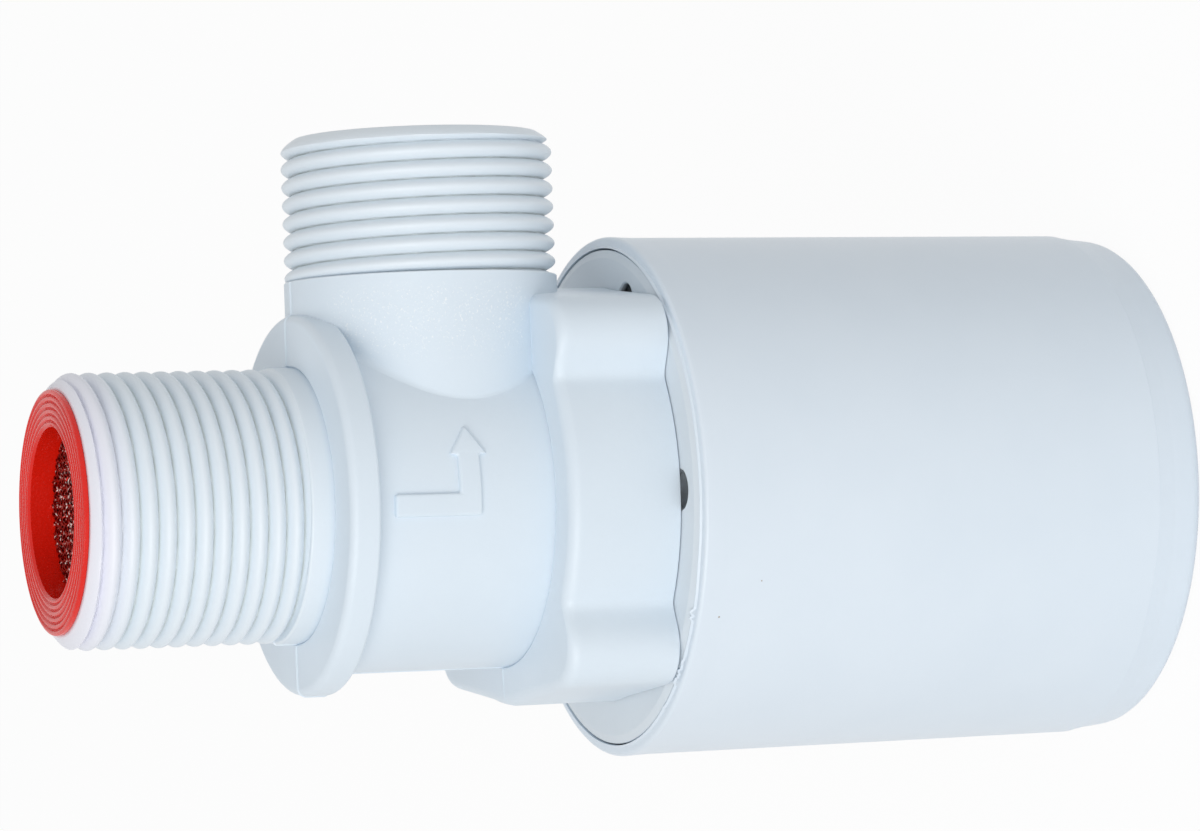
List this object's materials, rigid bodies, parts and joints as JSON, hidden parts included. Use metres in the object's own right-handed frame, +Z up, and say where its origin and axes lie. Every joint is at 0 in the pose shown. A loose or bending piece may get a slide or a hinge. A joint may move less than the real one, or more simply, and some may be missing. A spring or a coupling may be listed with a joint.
{
  "type": "float valve",
  "caption": "Upright plastic float valve with a strainer in its threaded inlet, a threaded side outlet and a float in a round casing that works a pilot diaphragm.",
  "frame": {"origin": "centre of the end cap's flat foot, on which the valve stands", "axes": "+Z up along the main axis towards the inlet, +X towards the outlet, -Y towards the side with the flow arrow"},
  "size_m": [0.0613, 0.0512, 0.1097],
  "materials": {
    "moulded_white": "fine moulded texture, bluish white",
    "cover_white": "fine moulded texture, greyish white",
    "casing_white": "satin moulded, bluish white",
    "red_plastic": "moulded red with turned ridges",
    "stainless_wire": "bright drawn wire",
    "plated_steel": "zinc plated",
    "brass": "turned",
    "black_rubber": "moulded matte",
    "natural_acetal": "natural moulded"
  },
  "bodies": {
    "housing": {"valve_body": "moulded_white", "pilot_cover": "cover_white", "casing": "casing_white", "end_cap": "casing_white", "diaphragm": "black_rubber", "bleed_pin": "stainless_wire", "pilot_nozzle": "brass", "nozzle_washer": "black_rubber", "cover_screw_1": "plated_steel", "cover_screw_2": "plated_steel", "cover_screw_3": "plated_steel", "cover_screw_4": "plated_steel"},
    "float": {"float_shell": "moulded_white", "float_lid": "moulded_white", "pad_holder": "natural_acetal", "pilot_pad": "black_rubber"},
    "valve_disc": {"diaphragm_plate": "natural_acetal", "diaphragm_core": "natural_acetal"},
    "strainer": {"filter_frame": "red_plastic", "filter_mesh": "stainless_wire"}
  },
  "joints": [
    {"name": "float_slide", "type": "slide", "parent": "housing", "child": "float", "axis": [0, 0, 1], "range_m": [0, 0.005]},
    {"name": "valve_lift", "type": "slide", "parent": "housing", "child": "valve_disc", "axis": [0, 0, 1], "range_m": [0, 0.0025], "deforming": ["diaphragm"]},
    {"name": "filter_pull", "type": "slide", "parent": "housing", "child": "strainer", "axis": [0, 0, 1], "range_m": [0, 0.015]}
  ],
  "couplings": [
    {"joint": "valve_lift", "follows": "float_slide", "ratio": 0.5}
  ]
}
